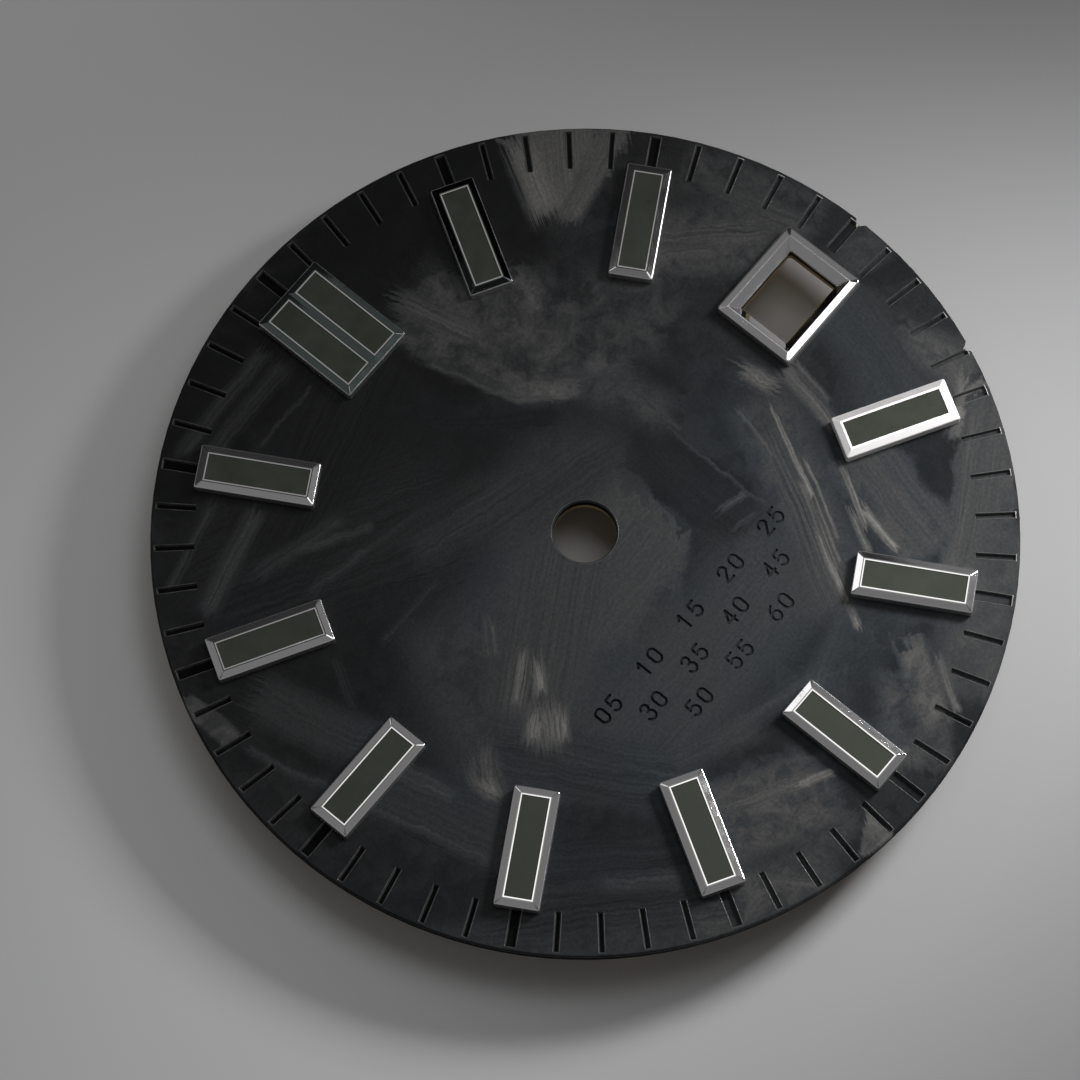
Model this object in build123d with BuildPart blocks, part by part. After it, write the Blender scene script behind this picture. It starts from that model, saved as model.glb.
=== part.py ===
from build123d import *
import os

# A dial for a three-hand wristwatch with a date. The origin is on the axis of the hole for the
# hands, in the face of the dial that rests on the movement. +Z leaves the front of the dial,
# +Y points to twelve o'clock and +X to three o'clock. All sizes are in millimetres.

# General
overrun = 0.5
hours = 12

# The two discs
dial_diameter = 28.5
carbon_thickness = 0.40
rim_chamfer = 0.05
base_thickness = 0.25
base_inset = 0.10
centre_hole_diameter = 2.10
hole_chamfer = 0.04
dial_top = base_thickness + carbon_thickness

# Minute track
minutes = 60
rim_margin = 0.14
groove_length = 1.32
groove_depth = 0.12
groove_draft = 15
minute_groove_width = 0.18
hour_groove_width = 0.34
groove_outer_radius = dial_diameter / 2 - rim_margin
groove_inner_radius = groove_outer_radius - groove_length
groove_middle_radius = groove_outer_radius - groove_length / 2

# Chips in the rim
chip_width = 0.42
chip_depth = 0.26
chip_angles = (-0.6, -23.4)

# Baton markers
single_hours = (1, 2, 4, 5, 6, 7, 8, 9, 10, 11)
double_hour = hours
index_length = 4.00
index_width = 1.50
index_height = 0.45
index_corner = 0.06
index_lap = 0.11
edge_round = 0.05
facet_width = 0.225
facet_drop = 0.07
rim_width = 0.075
double_width = 2.88
double_gap = 0.24
index_middle_radius = groove_inner_radius + index_lap - index_length / 2
index_top = dial_top + index_height
index_shoulder = index_height - facet_drop
border_width = facet_width + rim_width

# Luminous fill
pocket_depth = 0.25
lume_recess = 0.03
lume_length = index_length - 2 * border_width
single_lume_width = index_width - 2 * border_width
double_lume_width = (double_width - double_gap - 2 * facet_width) / 2 - 2 * rim_width
double_lume_offset = double_gap / 2 + rim_width + double_lume_width / 2

# Pins, their holes and the cement
pin_diameter = 0.40
pin_clearance = 0.05
pin_spacing = 2.40
cement_depth = 0.12
cement_flare = 0.10

# Date frame
date_hour = hours // 4
date_frame_length = 3.80
date_frame_width = 3.10
date_frame_gap = 0.31
date_frame_height = 0.45
date_frame_corner = 0.12
date_edge_round = 0.08
date_band_width = 0.27
date_band_drop = 0.05
date_bevel_width = 0.30
date_bevel_depth = 0.32
date_inner_corner = 0.04
date_seat_clearance = 0.05
date_cut_corner = 0.12
date_pin_diameter = 0.30
date_pin_inset = 0.26
date_middle_radius = groove_inner_radius - date_frame_gap - date_frame_length / 2
date_top = dial_top + date_frame_height
date_wall = date_band_width + date_bevel_width
date_opening_length = date_frame_length - 2 * date_wall
date_opening_width = date_frame_width - 2 * date_wall
date_cut_length = date_opening_length + 2 * date_seat_clearance
date_cut_width = date_opening_width + 2 * date_seat_clearance

# Engraved numbers
numeral_rows = (("05", "10", "15", "20", "25"), ("30", "35", "40", "45"), ("50", "55", "60"))
numeral_height = 0.62
numeral_width = 0.40
numeral_stroke = 0.09
numeral_space = 0.16
numeral_depth = 0.06
numeral_first_row = 4.45
numeral_row_pitch = 1.05
numeral_column_pitch = 2.08

# Strokes of the numbers on their centre lines, as shares of the width and the height: two points
# are a straight stroke and three are an arc.
numeral_stroke_shares = {
    "0": (
        ((-0.5, 0.2), (0.0, 0.5), (0.5, 0.2)),
        ((0.5, 0.2), (0.5, -0.2)),
        ((0.5, -0.2), (0.0, -0.5), (-0.5, -0.2)),
        ((-0.5, -0.2), (-0.5, 0.2)),
    ),
    "1": (
        ((-0.35, 0.25), (0.05, 0.5)),
        ((0.05, 0.5), (0.05, -0.5)),
    ),
    "2": (
        ((-0.5, 0.2), (0.0, 0.5), (0.5, 0.2)),
        ((0.5, 0.2), (-0.5, -0.5)),
        ((-0.5, -0.5), (0.5, -0.5)),
    ),
    "3": (
        ((-0.42, 0.38), (0.42, 0.26), (-0.05, 0.03)),
        ((-0.05, 0.03), (0.5, -0.24), (-0.5, -0.33)),
    ),
    "4": (
        ((0.25, -0.5), (0.25, 0.5)),
        ((0.25, 0.5), (-0.5, -0.2)),
        ((-0.5, -0.2), (0.5, -0.2)),
    ),
    "5": (
        ((0.42, 0.5), (-0.36, 0.5)),
        ((-0.36, 0.5), (-0.45, 0.02)),
        ((-0.45, 0.02), (0.5, -0.17), (-0.5, -0.36)),
    ),
    "6": (
        ((0.32, 0.5), (-0.3, 0.2), (-0.5, -0.2)),
        ((-0.5, -0.2), (0.0, 0.1), (0.5, -0.2)),
        ((0.5, -0.2), (0.0, -0.5), (-0.5, -0.2)),
    ),
}

# Dial feet
foot_angles = {"upper": 75, "lower": -135}
foot_diameter = 0.75
foot_length = 2.00
foot_inset = 1.30
foot_tip_chamfer = 0.10
foot_seat_diameter = 1.30
foot_seat_depth = 0.10
weld_diameter = 1.20
weld_height = 0.15
foot_radius = dial_diameter / 2 - foot_inset


def turned_plane(angle, radius, height):
    """A level plane at an angle and a distance from the axis, with its x pointing outwards."""
    origin = Vector(radius, 0, height).rotate(Axis.Z, angle)
    outwards = Vector(1, 0, 0).rotate(Axis.Z, angle)
    return Plane(origin=origin, x_dir=outwards, z_dir=(0, 0, 1))


def hour_angle(hour):
    """The direction of an hour, counted from +X towards +Y."""
    return 90 - hour * 360 / hours


def marker_plane(hour, height):
    return turned_plane(hour_angle(hour), index_middle_radius, height)


def date_plane(height):
    return turned_plane(hour_angle(date_hour), date_middle_radius, height)


def index_pin_places(hour):
    """The middles of a baton's two pins, as points on the dial."""
    offsets = (-pin_spacing / 2, pin_spacing / 2)
    places = [marker_plane(hour, 0).from_local_coords((offset, 0, 0)) for offset in offsets]
    return [(place.X, place.Y) for place in places]


def date_pin_places():
    """The middles of the date frame's two pins, in opposite corners of its wall."""
    along = date_frame_length / 2 - date_pin_inset
    across = date_frame_width / 2 - date_pin_inset
    places = [date_plane(0).from_local_coords((side * along, side * across, 0)) for side in (-1, 1)]
    return [(place.X, place.Y) for place in places]


all_index_pins = [place for hour in (*single_hours, double_hour) for place in index_pin_places(hour)]


def edges_at(block, height, slack):
    """The edges whose middles lie at a height."""
    return block.edges().filter_by_position(Axis.Z, height - slack, height + slack)


def disc_outline(diameter):
    """The outline that both discs share: a circle with every opening that goes through them."""
    with BuildSketch() as outline:
        Circle(diameter / 2)
        Circle(centre_hole_diameter / 2, mode=Mode.SUBTRACT)
        with Locations((date_middle_radius, 0)):
            RectangleRounded(date_cut_length, date_cut_width, date_cut_corner, mode=Mode.SUBTRACT)
        with Locations(*all_index_pins):
            Circle(pin_diameter / 2 + pin_clearance, mode=Mode.SUBTRACT)
        with Locations(*date_pin_places()):
            Circle(date_pin_diameter / 2 + pin_clearance, mode=Mode.SUBTRACT)
    return outline.sketch


def stroke_line(points):
    """One stroke of a number at its real size."""
    width = numeral_width - numeral_stroke
    height = numeral_height - numeral_stroke
    sized = [(x * width, y * height) for x, y in points]
    if len(sized) == 2:
        return Edge.make_line(*sized)
    return Edge.make_three_point_arc(*sized)


def digit_sketch(digit):
    """One number from nought to nine, centred, as cut by a round cutter."""
    with BuildSketch() as drawn:
        for points in numeral_stroke_shares[digit]:
            trace(stroke_line(points), line_width=numeral_stroke)
            with Locations(stroke_line(points) @ 0, stroke_line(points) @ 1):
                Circle(numeral_stroke / 2)
    return drawn.sketch


# Forged carbon disc
with BuildPart() as carbon_face:
    with BuildSketch(Plane.XY.offset(base_thickness)):
        add(disc_outline(dial_diameter))
    extrude(amount=carbon_thickness)
    top_circles = carbon_face.faces().sort_by(Axis.Z)[-1].edges().filter_by(GeomType.CIRCLE)
    chamfer(top_circles.sort_by(SortBy.RADIUS)[-1], length=rim_chamfer)
    top_circles = carbon_face.faces().sort_by(Axis.Z)[-1].edges().filter_by(GeomType.CIRCLE)
    chamfer(top_circles.sort_by(SortBy.RADIUS)[-2], length=hole_chamfer)

    # Minute grooves with sloping sides, twelve of them wide
    with BuildSketch(Plane.XY.offset(dial_top)):
        with PolarLocations(groove_middle_radius, minutes):
            Rectangle(groove_length, minute_groove_width)
        with PolarLocations(groove_middle_radius, hours):
            Rectangle(groove_length, hour_groove_width)
    extrude(amount=-groove_depth, taper=groove_draft, mode=Mode.SUBTRACT)

    # Rows of plain numbers between the centre and six o'clock
    with BuildSketch(Plane.XY.offset(dial_top)):
        for row, numbers in enumerate(numeral_rows):
            row_y = -(numeral_first_row + row * numeral_row_pitch)
            for column, number in enumerate(numbers):
                number_x = (column - (len(numbers) - 1) / 2) * numeral_column_pitch
                for place, digit in enumerate(number):
                    digit_step = numeral_width + numeral_space
                    digit_x = number_x + (place - (len(number) - 1) / 2) * digit_step
                    with Locations((digit_x, row_y)):
                        add(digit_sketch(digit))
    extrude(amount=-numeral_depth, mode=Mode.SUBTRACT)

    # Small chips broken out of the rim
    for angle in chip_angles:
        with BuildSketch(turned_plane(angle, dial_diameter / 2, base_thickness)):
            with BuildLine():
                Polyline((-chip_depth, 0), (0, chip_width / 2), (overrun, chip_width / 2),
                         (overrun, -chip_width / 2), (0, -chip_width / 2), close=True)
            make_face()
        extrude(amount=carbon_thickness, mode=Mode.SUBTRACT)
carbon_face.part.label = "carbon_face"

# Metal disc behind the carbon
with BuildPart() as base_plate:
    with BuildSketch():
        add(disc_outline(dial_diameter - 2 * base_inset))
    extrude(amount=base_thickness)

    # Countersinks for the cement at the back of each pin
    with Locations(*[(x, y, cement_depth / 2) for x, y in all_index_pins]):
        hole_radius = pin_diameter / 2 + pin_clearance
        Cone(hole_radius + cement_flare, hole_radius, cement_depth, mode=Mode.SUBTRACT)
    with Locations(*[(x, y, cement_depth / 2) for x, y in date_pin_places()]):
        hole_radius = date_pin_diameter / 2 + pin_clearance
        Cone(hole_radius + cement_flare, hole_radius, cement_depth, mode=Mode.SUBTRACT)

    # Shallow round seats that keep the welds of the feet clear of the movement
    for angle in foot_angles.values():
        with BuildSketch(turned_plane(angle, foot_radius, 0)):
            Circle(foot_seat_diameter / 2)
        extrude(amount=foot_seat_depth, mode=Mode.SUBTRACT)
base_plate.part.label = "base_plate"

# Cement that locks the pins, flush with the back
with BuildPart() as pin_cement:
    with Locations(*[(x, y, cement_depth / 2) for x, y in all_index_pins]):
        hole_radius = pin_diameter / 2 + pin_clearance
        Cone(hole_radius + cement_flare, hole_radius, cement_depth)
    with Locations(*[(x, y, cement_depth / 2) for x, y in date_pin_places()]):
        hole_radius = date_pin_diameter / 2 + pin_clearance
        Cone(hole_radius + cement_flare, hole_radius, cement_depth)
pin_cement.part.label = "pin_cement"


def dial_foot(name):
    """A round foot welded into its seat in the back of the metal disc."""
    angle = foot_angles[name]
    with BuildPart() as foot:
        with BuildSketch(turned_plane(angle, foot_radius, foot_seat_depth)):
            Circle(weld_diameter / 2)
        with BuildSketch(turned_plane(angle, foot_radius, -weld_height)):
            Circle(foot_diameter / 2)
        loft()
        with BuildSketch(turned_plane(angle, foot_radius, -weld_height)):
            Circle(foot_diameter / 2)
        extrude(amount=-(foot_length - weld_height))
        chamfer(foot.faces().sort_by(Axis.Z)[0].edges(), length=foot_tip_chamfer)
    foot.part.label = f"dial_foot_{name}"
    return foot.part


def marker(hour, width, pocket_width, pocket_offsets):
    """A baton: a block with sloping facets, a flat rim round each pocket, and two pins."""
    with BuildPart() as block:
        with BuildSketch(marker_plane(hour, dial_top)):
            RectangleRounded(index_length, width, index_corner)
        extrude(amount=index_shoulder)
        with BuildSketch(marker_plane(hour, dial_top + index_shoulder)):
            RectangleRounded(index_length, width, index_corner)
        with BuildSketch(marker_plane(hour, index_top)):
            RectangleRounded(index_length - 2 * facet_width, width - 2 * facet_width, index_corner / 2)
        loft(ruled=True)
        fillet(edges_at(block, dial_top + index_shoulder, facet_drop / 4), radius=edge_round)

        # Pockets for the luminous fill
        with BuildSketch(marker_plane(hour, index_top)):
            with Locations(*[(0, offset) for offset in pocket_offsets]):
                Rectangle(lume_length, pocket_width)
        extrude(amount=-pocket_depth, mode=Mode.SUBTRACT)

        # Pins through both discs
        with BuildSketch(marker_plane(hour, dial_top)):
            with Locations((-pin_spacing / 2, 0), (pin_spacing / 2, 0)):
                Circle(pin_diameter / 2)
        extrude(amount=-(dial_top - cement_depth))
    block.part.label = f"index_{hour:02d}"
    return block.part


def lume(hour, pocket_width, offset, name):
    """The fill of one pocket, a little lower than the rim round it."""
    with BuildPart() as fill:
        with BuildSketch(marker_plane(hour, index_top - pocket_depth)):
            with Locations((0, offset)):
                Rectangle(lume_length, pocket_width)
        extrude(amount=pocket_depth - lume_recess)
    fill.part.label = name
    return fill.part


# The double baton at twelve, with a shallow valley between its two rims
with BuildPart() as index_12:
    add(marker(double_hour, double_width, double_lume_width, (-double_lume_offset, double_lume_offset)))
    valley_drop = facet_drop / facet_width * double_gap / 2
    with BuildSketch(Plane.XZ):
        with BuildLine():
            Polyline((-double_gap / 2, index_top), (0, index_top - valley_drop),
                     (double_gap / 2, index_top), close=True)
        make_face()
    extrude(amount=-(index_middle_radius + index_length), mode=Mode.SUBTRACT)
index_12.part.label = "index_12"

# Frame round the date opening
with BuildPart() as date_frame:
    with BuildSketch(date_plane(dial_top)):
        RectangleRounded(date_frame_length, date_frame_width, date_frame_corner)
    extrude(amount=date_frame_height - date_band_drop)
    with BuildSketch(date_plane(date_top - date_band_drop)):
        RectangleRounded(date_frame_length, date_frame_width, date_frame_corner)
    with BuildSketch(date_plane(date_top)):
        RectangleRounded(date_frame_length - 2 * date_band_width,
                         date_frame_width - 2 * date_band_width, date_inner_corner)
    loft(ruled=True)
    fillet(edges_at(date_frame, date_top - date_band_drop, date_band_drop / 4), radius=date_edge_round)

    # Bevel down to the opening, and the opening itself
    with BuildSketch(date_plane(date_top)):
        RectangleRounded(date_frame_length - 2 * date_band_width,
                         date_frame_width - 2 * date_band_width, date_inner_corner)
    with BuildSketch(date_plane(date_top - date_bevel_depth)):
        RectangleRounded(date_opening_length, date_opening_width, date_inner_corner)
    loft(ruled=True, mode=Mode.SUBTRACT)
    with BuildSketch(date_plane(dial_top)):
        RectangleRounded(date_opening_length, date_opening_width, date_inner_corner)
    extrude(amount=date_frame_height, mode=Mode.SUBTRACT)

    # Pins in two opposite corners
    with BuildSketch(Plane.XY.offset(dial_top)):
        with Locations(*date_pin_places()):
            Circle(date_pin_diameter / 2)
    extrude(amount=-(dial_top - cement_depth))
date_frame.part.label = "date_frame"

# One file for each piece
pieces = [carbon_face.part, base_plate.part, pin_cement.part, index_12.part, date_frame.part]
pieces += [dial_foot(name) for name in foot_angles]
for hour in single_hours:
    pieces.append(marker(hour, index_width, single_lume_width, (0,)))
    pieces.append(lume(hour, single_lume_width, 0, f"lume_{hour:02d}"))
pieces.append(lume(double_hour, double_lume_width, double_lume_offset, "lume_12_left"))
pieces.append(lume(double_hour, double_lume_width, -double_lume_offset, "lume_12_right"))

os.makedirs("parts", exist_ok=True)
for piece in pieces:
    export_step(piece, f"parts/{piece.label}.step")
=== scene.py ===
import math
import random

import bpy
from mathutils import Matrix, Vector


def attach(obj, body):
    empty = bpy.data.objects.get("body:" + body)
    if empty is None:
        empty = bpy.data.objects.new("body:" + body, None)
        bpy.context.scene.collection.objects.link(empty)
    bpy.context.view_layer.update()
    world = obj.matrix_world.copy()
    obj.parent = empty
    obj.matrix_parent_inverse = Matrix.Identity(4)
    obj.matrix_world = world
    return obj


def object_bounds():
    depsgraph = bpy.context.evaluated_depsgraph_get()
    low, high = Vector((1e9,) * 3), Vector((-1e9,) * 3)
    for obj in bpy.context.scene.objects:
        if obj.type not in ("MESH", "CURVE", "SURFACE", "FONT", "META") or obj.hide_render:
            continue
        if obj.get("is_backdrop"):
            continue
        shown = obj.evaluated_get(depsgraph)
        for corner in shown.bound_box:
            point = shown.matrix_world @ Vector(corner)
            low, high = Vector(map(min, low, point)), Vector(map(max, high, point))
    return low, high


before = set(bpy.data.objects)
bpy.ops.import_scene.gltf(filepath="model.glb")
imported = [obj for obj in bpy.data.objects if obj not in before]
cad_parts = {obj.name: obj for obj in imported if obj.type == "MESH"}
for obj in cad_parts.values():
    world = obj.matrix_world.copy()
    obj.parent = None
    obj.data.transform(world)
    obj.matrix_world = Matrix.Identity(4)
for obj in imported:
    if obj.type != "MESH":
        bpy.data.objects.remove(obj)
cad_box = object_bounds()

# Metal disc at the back of the dial. It is thin brass sheet, faced on a lathe, so its back has
# fine turning rings. It carries the feet, and the carbon disc is glued on its front.
MM = 0.001
turning_pitch = 0.055
turning_depth = 0.0012
brass_light = (0.60, 0.44, 0.21, 1.0)
brass_dull = (0.42, 0.29, 0.13, 1.0)
brass_roughness = (0.28, 0.46)
brass_stain = (0.35, 0.70)
noise_span = (0.3, 0.7)


def new_finish(name):
    """A material with one shader and nothing yet that feeds it."""
    finish = bpy.data.materials.new(name)
    finish.use_nodes = True
    return finish


def step(tree, kind, inputs=None, **settings):
    """One step of a finish. An input is a fixed value, or what an earlier step gives."""
    made = tree.nodes.new("ShaderNode" + kind)
    for name, value in settings.items():
        setattr(made, name, value)
    for socket, value in (inputs or {}).items():
        if isinstance(value, bpy.types.NodeSocket):
            tree.links.new(value, made.inputs[socket])
        else:
            made.inputs[socket].default_value = value
    return made


def calc(tree, operation, *values):
    return step(tree, "Math", dict(enumerate(values)), operation=operation).outputs[0]


def vector_calc(tree, operation, *values):
    made = step(tree, "VectorMath", dict(enumerate(values)), operation=operation)
    return made.outputs["Value" if operation in ("DOT_PRODUCT", "LENGTH") else "Vector"]


def scaled(tree, vector, factor):
    made = step(tree, "VectorMath", {0: vector, "Scale": factor}, operation="SCALE")
    return made.outputs["Vector"]


def split(tree, vector):
    """The X, Y and Z of a vector."""
    return step(tree, "SeparateXYZ", {"Vector": vector}).outputs


def joined(tree, x, y, z=0.0):
    return step(tree, "CombineXYZ", {"X": x, "Y": y, "Z": z}).outputs[0]


def ramp(tree, value, low, high, to_low=0.0, to_high=1.0):
    """A value that goes smoothly from one level to another between two limits."""
    limits = {"Value": value, "From Min": low, "From Max": high, "To Min": to_low, "To Max": to_high}
    made = step(tree, "MapRange", limits, interpolation_type="SMOOTHSTEP", clamp=False)
    return made.outputs["Result"]


def spread(tree, pattern, to_low=0.0, to_high=1.0):
    """The span in which most of a noise pattern lies, spread from one level to another."""
    return ramp(tree, pattern, *noise_span, to_low, to_high)


def mix_colours(tree, share, first, second):
    return step(tree, "Mix", {0: share, 6: first, 7: second}, data_type="RGBA").outputs[2]


def places_in_mm(tree):
    """The place on the dial, in millimetres of the part's own frame."""
    return scaled(tree, step(tree, "TexCoord").outputs["Object"], 1 / MM)


def grain(tree, vector, scale=1.0, detail=2.0, roughness=0.5):
    inputs = {"Vector": vector, "Scale": scale, "Detail": detail, "Roughness": roughness}
    return step(tree, "TexNoise", inputs).outputs["Fac"]


def feed(tree, **sockets):
    """Gives the shader its values. A fixed value is set on the shader itself."""
    shader = tree.nodes["Principled BSDF"]
    for name, value in sockets.items():
        socket = shader.inputs[name.replace("_", " ")]
        if isinstance(value, bpy.types.NodeSocket):
            tree.links.new(value, socket)
        else:
            socket.default_value = value


def relief(tree, height, depth):
    """Fine relief of the surface, with its depth in millimetres."""
    bump = step(tree, "Bump", {"Height": height, "Distance": depth * MM, "Strength": 1.0})
    feed(tree, Normal=bump.outputs["Normal"])


def dress(node, finish):
    """Gives a CAD node its finish."""
    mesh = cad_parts[node].data
    mesh.materials.clear()
    mesh.materials.append(finish)


turned_brass = new_finish("turned_brass")
tree = turned_brass.node_tree
place = places_in_mm(tree)
parts = split(tree, place)
off_axis = vector_calc(tree, "LENGTH", joined(tree, parts["X"], parts["Y"]))
ring = calc(tree, "SINE", calc(tree, "MULTIPLY", off_axis, math.tau / turning_pitch))
stain = grain(tree, place, 0.6, 5.0, 0.6)
feed(tree, Metallic=1.0, Roughness=spread(tree, stain, *brass_roughness),
     Base_Color=mix_colours(tree, ramp(tree, stain, *brass_stain), brass_light, brass_dull))
relief(tree, ring, turning_depth)
dress("base_plate", turned_brass)

# Dial feet. Two lengths of drawn copper alloy wire, welded into shallow seats in the back. The
# weld leaves a dull heat stain round the root, and the wire keeps fine marks from the die.
wire_copper = (0.63, 0.36, 0.21, 1.0)
wire_roughness = (0.22, 0.42)
heat_stain = (0.16, 0.10, 0.075, 1.0)
stain_reach = (-0.20, 0.30)
stain_wander = 0.5
die_mark_scale = (16.0, 16.0, 0.7)
die_mark_depth = 0.004

drawn_wire = new_finish("drawn_wire")
tree = drawn_wire.node_tree
place = places_in_mm(tree)
height = split(tree, place)["Z"]
marks = grain(tree, vector_calc(tree, "MULTIPLY", place, die_mark_scale), 1.0, 3.0, 0.6)
uneven = calc(tree, "MULTIPLY_ADD", grain(tree, place, 3.0, 3.0), stain_wander, height)
feed(tree, Metallic=1.0, Roughness=spread(tree, marks, *wire_roughness),
     Base_Color=mix_colours(tree, ramp(tree, uneven, *stain_reach), wire_copper, heat_stain))
relief(tree, marks, die_mark_depth)
for foot in ("dial_foot_upper", "dial_foot_lower"):
    dress(foot, drawn_wire)

# Forged carbon disc. Chopped carbon tows lie at all angles in resin, pressed hot and ground
# flat, so each chip shows as a patch of fine streaks that is lighter or darker as it lies.
dial_top = 0.65
fibre_turns = 12
fibre_length = 4.5
fibre_width = 0.085
fibre_fray = 0.12
tow_drift = 0.56
chip_step = 0.05
swirl_reach = 1.6
mottle_span = (0.32, 0.68)
streak_span = (0.28, 0.72)
turn_shift = 7.3
ground_shade = 0.020
ground_swing = 0.004
layer_shift = 5.1
small_chip_shades = (0.012, 0.030)
small_chip_draw = (0.45, 0.75)
small_chip_cover = 0.6
small_chip_fray = 0.10

# Layers of small chips in the ground: direction in steps of the fibres, length and width
small_chip_layers = ((1, 4.4, 1.5), (9, 4.0, 1.3), (5, 3.4, 1.2))

# Chips: x and y of the middle, direction of the fibres, length, width, lightness, how ragged the
# ends are, how soft the edges are, how much the pattern stands out, and for a few how much they
# flare towards one end. Sizes are in millimetres and angles in degrees. Cloudy chips lie flat, so
# their fibres only show as a mottle.
cloudy_chips = (
    # Dark ground of the upper half, partly painted shade, darkest near twelve and one
    (-5.0, 7.0, 30, 17.0, 8.0, 0.013, 0.8, 2.4, 0.25),
    (-0.5, 12.2, 0, 16.0, 3.8, 0.008, 0.8, 0.8, 0.20),
    (1.2, 9.2, 90, 7.0, 1.4, 0.008, 0.6, 0.4, 0.20),
    (6.6, 10.2, 60, 6.4, 3.4, 0.010, 0.6, 0.5, 0.20),
    (-1.0, 6.0, 120, 7.0, 3.0, 0.013, 0.8, 1.0, 0.20),
    # Pale ground round the hole, with a torn end on its right
    (-1.6, -0.6, 15, 8.6, 5.6, 0.045, 1.0, 1.6, 0.18),
    (0.0, -1.4, 0, 4.5, 4.0, 0.054, 1.6, 0.08, 0.16),
    (-0.4, 2.6, 165, 5.6, 1.8, 0.032, 1.0, 0.9, 0.30),
    # Ground of the lower half
    (-1.5, -5.6, 0, 10.0, 4.0, 0.041, 1.0, 1.2, 0.18),
    (-6.4, -1.0, 60, 6.0, 3.6, 0.040, 0.8, 1.0, 0.22),
    (-9.2, -8.0, 135, 9.0, 4.6, 0.019, 0.8, 1.5, 0.25),
    (-12.4, -4.0, 105, 9.0, 1.8, 0.018, 0.8, 0.5, 0.25),
    (-10.6, -8.6, 135, 10.0, 1.7, 0.037, 0.8, 0.4, 0.30),
    (-5.8, -12.1, 150, 5.0, 1.8, 0.056, 0.8, 0.4, 0.35),
    (-8.0, -6.6, 135, 4.0, 2.2, 0.016, 0.8, 0.5, 0.25),
    (-7.6, -9.0, 135, 3.4, 1.6, 0.034, 1.0, 0.5, 0.40),
    # Dark blue chip right of the hole
    (3.4, -1.7, 90, 4.8, 1.9, 0.017, 1.0, 0.12, 0.16),
    (1.5, -3.9, 30, 3.0, 1.1, 0.021, 0.8, 0.16, 0.16),
    # Mottled pale chips between twelve and the centre
    (3.1, 7.0, 105, 5.4, 3.0, 0.058, 1.0, 0.35, 0.50),
    (4.7, 5.4, 120, 5.6, 3.6, 0.050, 1.0, 0.60, 0.45),
    (3.0, 4.1, 135, 2.2, 0.6, 0.085, 1.0, 0.20, 0.40),
    (5.2, 6.6, 90, 2.2, 0.9, 0.070, 1.2, 0.30, 0.45),
    (6.5, 4.2, 120, 4.8, 2.6, 0.040, 0.8, 0.80, 0.40),
    (4.5, 1.9, 105, 3.2, 1.4, 0.042, 0.8, 0.60, 0.35),
    (7.5, 7.0, 45, 4.4, 1.1, 0.021, 0.6, 0.30, 0.25),
    # Right side, under two and round the date frame
    (10.6, 3.2, 135, 5.4, 2.6, 0.048, 1.0, 0.50, 0.50),
    (12.8, 3.4, 105, 5.0, 1.8, 0.040, 0.8, 0.40, 0.45),
    (7.3, 0.4, 75, 4.2, 2.4, 0.022, 0.8, 0.60, 0.25),
    (13.4, -0.8, 165, 1.8, 1.4, 0.040, 0.6, 0.30, 0.35),
    # Lower right
    (5.4, -4.8, 60, 8.0, 2.4, 0.044, 1.0, 0.50, 0.30),
    (7.4, -7.0, 75, 4.6, 2.4, 0.052, 1.0, 0.35, 0.35),
    (9.7, -7.4, 30, 3.0, 1.7, 0.014, 0.8, 0.16, 0.20),
    (10.9, -3.4, 60, 4.2, 2.2, 0.032, 0.8, 0.50, 0.25),
    (12.1, -5.0, 105, 2.8, 1.4, 0.060, 1.0, 0.40, 0.35),
    (11.4, -7.0, 30, 2.2, 1.0, 0.105, 1.2, 0.25, 0.45),
    (9.0, -9.4, 30, 7.6, 2.0, 0.050, 0.8, 0.12, 0.22),
    (6.2, -11.6, 30, 6.0, 2.6, 0.046, 0.8, 0.50, 0.22),
    (2.9, -9.4, 0, 4.2, 1.6, 0.030, 0.8, 0.50, 0.25),
    # Along the rim from five to seven
    (1.9, -12.3, 45, 3.4, 2.2, 0.048, 1.0, 0.30, 0.40),
    (3.1, -11.7, 60, 3.0, 1.0, 0.070, 1.0, 0.20, 0.45),
    (-3.2, -10.6, 150, 3.8, 2.8, 0.062, 0.8, 0.45, 0.40),
    (-3.2, -12.6, 0, 2.6, 1.2, 0.046, 0.8, 0.30, 0.30),
    (-1.8, -13.5, 60, 1.6, 0.7, 0.090, 0.4, 0.08, 0.30, -0.5),
    # Bright fan at the rim between one and two, its brightness partly a painted glint of its fibres, and the
    # rim chip before ten
    (9.26, 8.41, 45, 3.6, 2.5, 0.085, 1.2, 0.12, 0.35, 0.72),
    (-12.75, 5.2, 90, 2.0, 0.7, 0.075, 0.3, 0.10, 0.35),
)
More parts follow.
